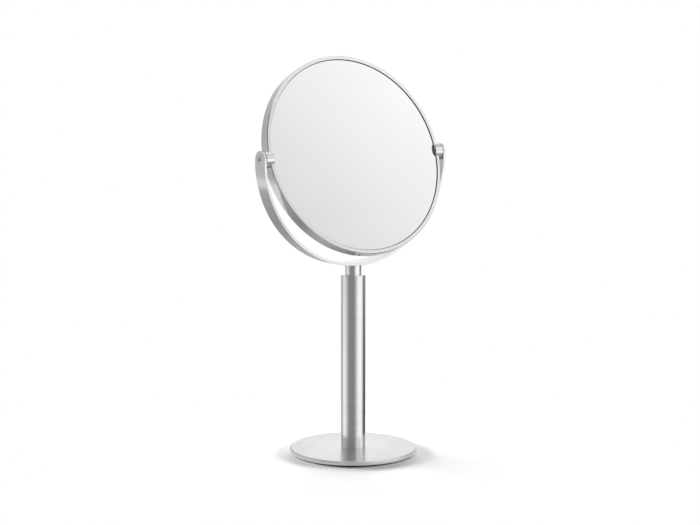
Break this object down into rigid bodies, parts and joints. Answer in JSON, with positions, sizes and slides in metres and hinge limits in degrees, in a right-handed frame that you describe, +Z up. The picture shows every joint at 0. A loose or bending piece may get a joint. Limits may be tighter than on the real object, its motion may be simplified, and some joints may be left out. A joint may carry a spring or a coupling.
{
  "type": "extendable shaving mirror",
  "caption": "Two-sided round mirror that flips in a half-round yoke, on a telescopic steel column that slides up and swivels on a flat round foot.",
  "frame": {"origin": "centre of the underside of the anti-slip pad, on the column's axis", "axes": "+Z up along the column, X along the mirror's pivot axis (left ear at -X), the plain mirror faces -Y and looks 20 degrees up"},
  "size_m": [0.2144, 0.126, 0.3915],
  "materials": {
    "foot_rubber": "matt anti-slip rubber sheet",
    "black_rubber": "soft black rubber",
    "brushed_plate": "satin stainless plate with straight brushing",
    "brushed_tube": "satin stainless tube brushed round",
    "brushed_strip": "satin stainless strip brushed along its length",
    "brushed_ring": "satin stainless frame brushed round",
    "turned_steel": "fine turned stainless",
    "screw_steel": "stainless screw",
    "plain_steel": "plain machined steel",
    "spring_steel": "spring steel",
    "white_plastic": "low-friction white plastic",
    "bush_plastic": "low-friction grey plastic",
    "black_plastic": "black moulded plastic",
    "seal_grey": "grey mirror sealant",
    "mirror_glass": "silvered mirror glass"
  },
  "bodies": {
    "foot": {"foot_pad": "foot_rubber", "base_plate": "brushed_plate", "base_screw": "plain_steel", "foot_plug": "plain_steel", "outer_tube": "brushed_tube", "bump_stop": "black_rubber", "top_bush": "turned_steel", "bush_liner": "white_plastic", "brake_ring": "black_rubber"},
    "slide": {"slide_guide": "white_plastic", "guide_rings": "black_rubber", "swivel_washer": "white_plastic"},
    "arm": {"inner_tube": "brushed_tube", "tube_end_plug": "plain_steel", "swivel_screw": "plain_steel", "yoke_plug": "plain_steel", "yoke_stud": "plain_steel", "yoke": "brushed_strip", "left_ear_bush": "bush_plastic", "right_ear_bush": "bush_plastic"},
    "mirror_head": {"frame_ring": "brushed_ring", "plain_mirror": "mirror_glass", "magnifying_mirror": "mirror_glass", "spacer_ring": "black_plastic", "front_seal": "seal_grey", "back_seal": "seal_grey", "left_pivot_block": "turned_steel", "right_pivot_block": "turned_steel", "left_pivot_screw": "screw_steel", "right_pivot_screw": "screw_steel", "left_friction_washer": "white_plastic", "right_friction_washer": "white_plastic", "left_spring_washer": "spring_steel", "right_spring_washer": "spring_steel"}
  },
  "joints": [
    {"name": "column_slide", "type": "slide", "parent": "foot", "child": "slide", "axis": [0, 0, 1], "range_m": [0, 0.106]},
    {"name": "column_swivel", "type": "hinge", "parent": "slide", "child": "arm", "pos_m": [0, 0, 0], "axis": [0, 0, 1], "continuous": true},
    {"name": "mirror_tilt", "type": "hinge", "parent": "arm", "child": "mirror_head", "pos_m": [0, 0, 0.2958], "axis": [1, 0, 0], "continuous": true}
  ]
}
